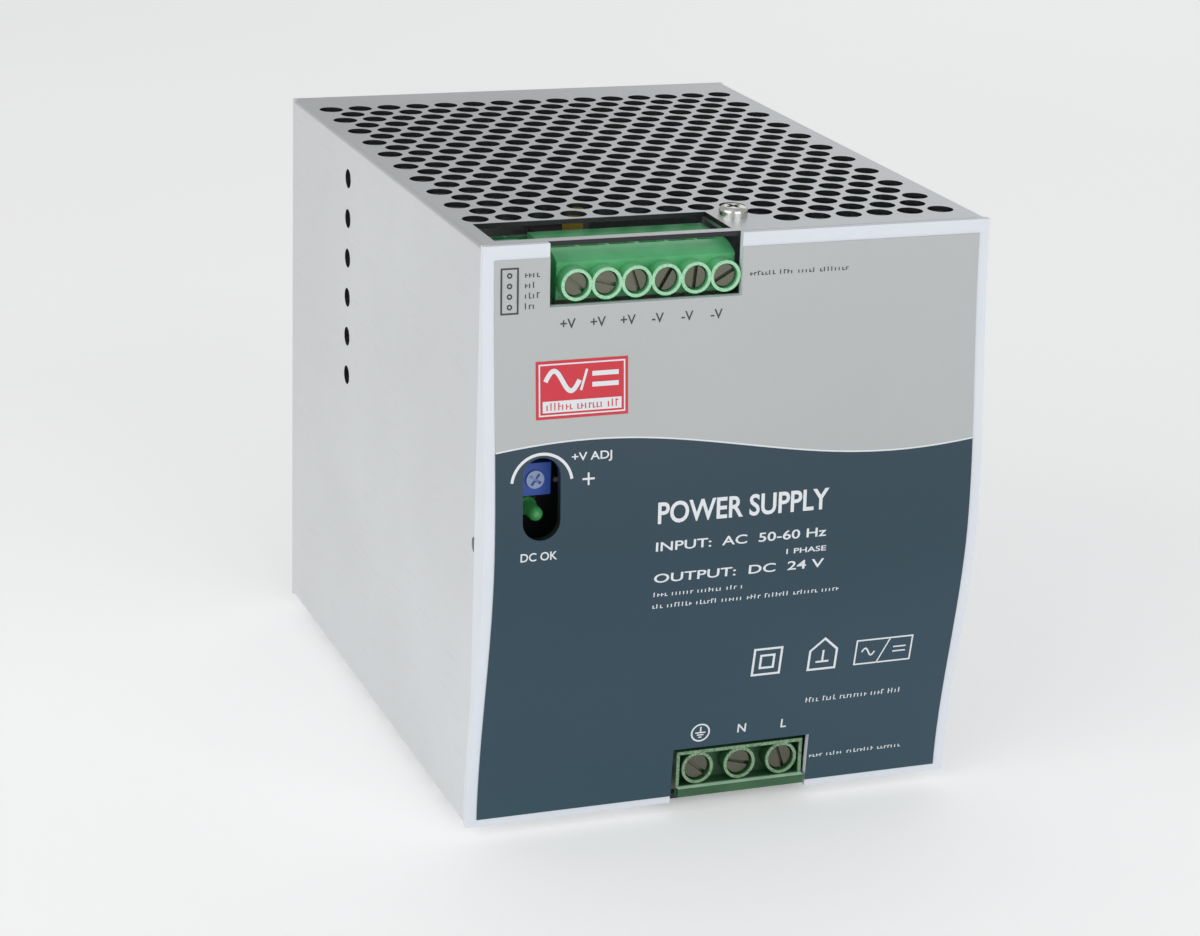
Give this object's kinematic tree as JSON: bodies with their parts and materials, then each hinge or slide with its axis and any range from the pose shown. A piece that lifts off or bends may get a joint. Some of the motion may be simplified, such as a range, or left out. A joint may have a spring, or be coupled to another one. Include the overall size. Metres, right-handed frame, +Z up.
{
  "type": "din rail power supply",
  "caption": "Sheet-metal power supply for a 35 mm rail: perforated case, curved front, screw terminals with rising cages, adjuster, lamp, sprung rail clip.",
  "frame": {"origin": "Centre of the 35 mm rail where it meets the clip: the middle of the case in width, the rail centre in height, on the plane of the rail flanges front faces", "axes": "+Y from the front of the unit back towards the rail, +Z up, +X to the right seen from the front"},
  "size_m": [0.1122, 0.1612, 0.1296],
  "materials": {
    "bezel": "light grey-white moulded plastic",
    "black_plastic": "black moulded plastic",
    "board_green": "green solder mask on glass-epoxy",
    "box_plastic": "grey potted box",
    "can_sleeve": "dark shrink sleeve over an aluminium can",
    "can_sleeve_2": "blue-black shrink sleeve over an aluminium can",
    "case_sheet": "fine matt rolled aluminium sheet",
    "clamp_cage": "plated steel cage",
    "clamp_screw": "plated steel clamp screw",
    "clip_steel": "zinc-plated spring steel sheet",
    "copper_wire": "enamelled copper wire",
    "ferrite": "dark grey sintered ferrite",
    "film_lower": "satin printed film, slate blue",
    "film_upper": "satin printed film, light grey",
    "fuse_ceramic": "white ceramic cartridge",
    "insulation": "black insulating film",
    "led_green": "green tinted epoxy",
    "relay_plastic": "white moulded case",
    "rotor_white": "pale plastic rotor",
    "screw_steel": "bright nickel-plated steel",
    "sink_aluminium": "plain extruded aluminium",
    "spring_steel": "plain spring wire",
    "terminal_green": "semi-gloss green polyamide",
    "tinned_copper": "tinned copper",
    "trimmer_blue": "blue moulded plastic",
    "winding_tape": "yellow polyester tape over copper",
    "zinc_steel": "zinc-plated steel"
  },
  "bodies": {
    "case": {"board_standoffs": "zinc_steel", "bottom_grille": "case_sheet", "box_capacitors": "box_plastic", "bracket_screws": "screw_steel", "bulk_capacitors": "can_sleeve", "case_screws": "screw_steel", "chassis": "case_sheet", "choke_cores": "ferrite", "choke_windings": "copper_wire", "front_bezel": "bezel", "front_board": "board_green", "front_film_lower": "film_lower", "front_film_upper": "film_upper", "heatsinks": "sink_aluminium", "indicator_board": "board_green", "indicator_spacers": "black_plastic", "input_contacts": "tinned_copper", "input_terminal_body": "terminal_green", "inrush_relay": "relay_plastic", "insulation_sheet": "insulation", "interboard_header": "black_plastic", "latch_springs": "spring_steel", "left_cover": "case_sheet", "line_fuse": "fuse_ceramic", "main_board": "board_green", "output_busbars": "tinned_copper", "output_capacitors": "can_sleeve_2", "output_contacts": "tinned_copper", "output_terminal_body": "terminal_green", "power_semiconductors": "black_plastic", "rail_bracket": "clip_steel", "sheet_brackets": "zinc_steel", "signal_header": "terminal_green", "signal_pins": "tinned_copper", "status_led": "led_green", "top_grille": "case_sheet", "transformer_core": "ferrite", "transformer_winding": "winding_tape", "trimmer_body": "trimmer_blue"},
    "output_screw_1": {"output_screw_1": "clamp_screw"},
    "output_cage_1": {"output_cage_1": "clamp_cage"},
    "output_screw_2": {"output_screw_2": "clamp_screw"},
    "output_cage_2": {"output_cage_2": "clamp_cage"},
    "output_screw_3": {"output_screw_3": "clamp_screw"},
    "output_cage_3": {"output_cage_3": "clamp_cage"},
    "output_screw_4": {"output_screw_4": "clamp_screw"},
    "output_cage_4": {"output_cage_4": "clamp_cage"},
    "output_screw_5": {"output_screw_5": "clamp_screw"},
    "output_cage_5": {"output_cage_5": "clamp_cage"},
    "output_screw_6": {"output_screw_6": "clamp_screw"},
    "output_cage_6": {"output_cage_6": "clamp_cage"},
    "input_screw_1": {"input_screw_1": "clamp_screw"},
    "input_cage_1": {"input_cage_1": "clamp_cage"},
    "input_screw_2": {"input_screw_2": "clamp_screw"},
    "input_cage_2": {"input_cage_2": "clamp_cage"},
    "input_screw_3": {"input_screw_3": "clamp_screw"},
    "input_cage_3": {"input_cage_3": "clamp_cage"},
    "trimmer_rotor": {"trimmer_rotor": "rotor_white"},
    "latch_slider": {"latch_slider": "clip_steel"}
  },
  "joints": [
    {"name": "output_screw_1_turn", "type": "hinge", "parent": "case", "child": "output_screw_1", "pos_m": [-0.0354, -0.1534, 0.0538], "axis": [0, 1, 0], "range_deg": [0, 2016.05]},
    {"name": "output_cage_1_rise", "type": "slide", "parent": "case", "child": "output_cage_1", "axis": [0, -1, 0], "range_m": [0, 0.0028]},
    {"name": "output_screw_2_turn", "type": "hinge", "parent": "case", "child": "output_screw_2", "pos_m": [-0.02905, -0.1534, 0.0538], "axis": [0, 1, 0], "range_deg": [0, 2016.05]},
    {"name": "output_cage_2_rise", "type": "slide", "parent": "case", "child": "output_cage_2", "axis": [0, -1, 0], "range_m": [0, 0.0028]},
    {"name": "output_screw_3_turn", "type": "hinge", "parent": "case", "child": "output_screw_3", "pos_m": [-0.0227, -0.1534, 0.0538], "axis": [0, 1, 0], "range_deg": [0, 2016.05]},
    {"name": "output_cage_3_rise", "type": "slide", "parent": "case", "child": "output_cage_3", "axis": [0, -1, 0], "range_m": [0, 0.0028]},
    {"name": "output_screw_4_turn", "type": "hinge", "parent": "case", "child": "output_screw_4", "pos_m": [-0.01635, -0.1534, 0.0538], "axis": [0, 1, 0], "range_deg": [0, 2016.05]},
    {"name": "output_cage_4_rise", "type": "slide", "parent": "case", "child": "output_cage_4", "axis": [0, -1, 0], "range_m": [0, 0.0028]},
    {"name": "output_screw_5_turn", "type": "hinge", "parent": "case", "child": "output_screw_5", "pos_m": [-0.01, -0.1534, 0.0538], "axis": [0, 1, 0], "range_deg": [0, 2016.05]},
    {"name": "output_cage_5_rise", "type": "slide", "parent": "case", "child": "output_cage_5", "axis": [0, -1, 0], "range_m": [0, 0.0028]},
    {"name": "output_screw_6_turn", "type": "hinge", "parent": "case", "child": "output_screw_6", "pos_m": [-0.00365, -0.1534, 0.0538], "axis": [0, 1, 0], "range_deg": [0, 2016.05]},
    {"name": "output_cage_6_rise", "type": "slide", "parent": "case", "child": "output_cage_6", "axis": [0, -1, 0], "range_m": [0, 0.0028]},
    {"name": "input_screw_1_turn", "type": "hinge", "parent": "case", "child": "input_screw_1", "pos_m": [-0.0029, -0.1494, -0.0557], "axis": [0, 1, 0], "range_deg": [0, 1680.05]},
    {"name": "input_cage_1_rise", "type": "slide", "parent": "case", "child": "input_cage_1", "axis": [0, -1, 0], "range_m": [0, 0.0028]},
    {"name": "input_screw_2_turn", "type": "hinge", "parent": "case", "child": "input_screw_2", "pos_m": [0.0068, -0.1494, -0.0557], "axis": [0, 1, 0], "range_deg": [0, 1680.05]},
    {"name": "input_cage_2_rise", "type": "slide", "parent": "case", "child": "input_cage_2", "axis": [0, -1, 0], "range_m": [0, 0.0028]},
    {"name": "input_screw_3_turn", "type": "hinge", "parent": "case", "child": "input_screw_3", "pos_m": [0.0165, -0.1494, -0.0557], "axis": [0, 1, 0], "range_deg": [0, 1680.05]},
    {"name": "input_cage_3_rise", "type": "slide", "parent": "case", "child": "input_cage_3", "axis": [0, -1, 0], "range_m": [0, 0.0028]},
    {"name": "trimmer_turn", "type": "hinge", "parent": "case", "child": "trimmer_rotor", "pos_m": [-0.0427, -0.1524, 0.0137], "axis": [0, 1, 0], "range_deg": [-135, 135]},
    {"name": "latch_pull", "type": "slide", "parent": "case", "child": "latch_slider", "axis": [0, 0, -1], "range_m": [0, 0.005], "stiffness_N_per_m": 2500, "springref_m": -0.005, "deforming": ["latch_springs"]}
  ],
  "couplings": [
    {"joint": "output_screw_1_turn", "follows": "output_cage_1_rise", "rad_per_m": 12566},
    {"joint": "output_screw_2_turn", "follows": "output_cage_2_rise", "rad_per_m": 12566},
    {"joint": "output_screw_3_turn", "follows": "output_cage_3_rise", "rad_per_m": 12566},
    {"joint": "output_screw_4_turn", "follows": "output_cage_4_rise", "rad_per_m": 12566},
    {"joint": "output_screw_5_turn", "follows": "output_cage_5_rise", "rad_per_m": 12566},
    {"joint": "output_screw_6_turn", "follows": "output_cage_6_rise", "rad_per_m": 12566},
    {"joint": "input_screw_1_turn", "follows": "input_cage_1_rise", "rad_per_m": 10472},
    {"joint": "input_screw_2_turn", "follows": "input_cage_2_rise", "rad_per_m": 10472},
    {"joint": "input_screw_3_turn", "follows": "input_cage_3_rise", "rad_per_m": 10472}
  ]
}
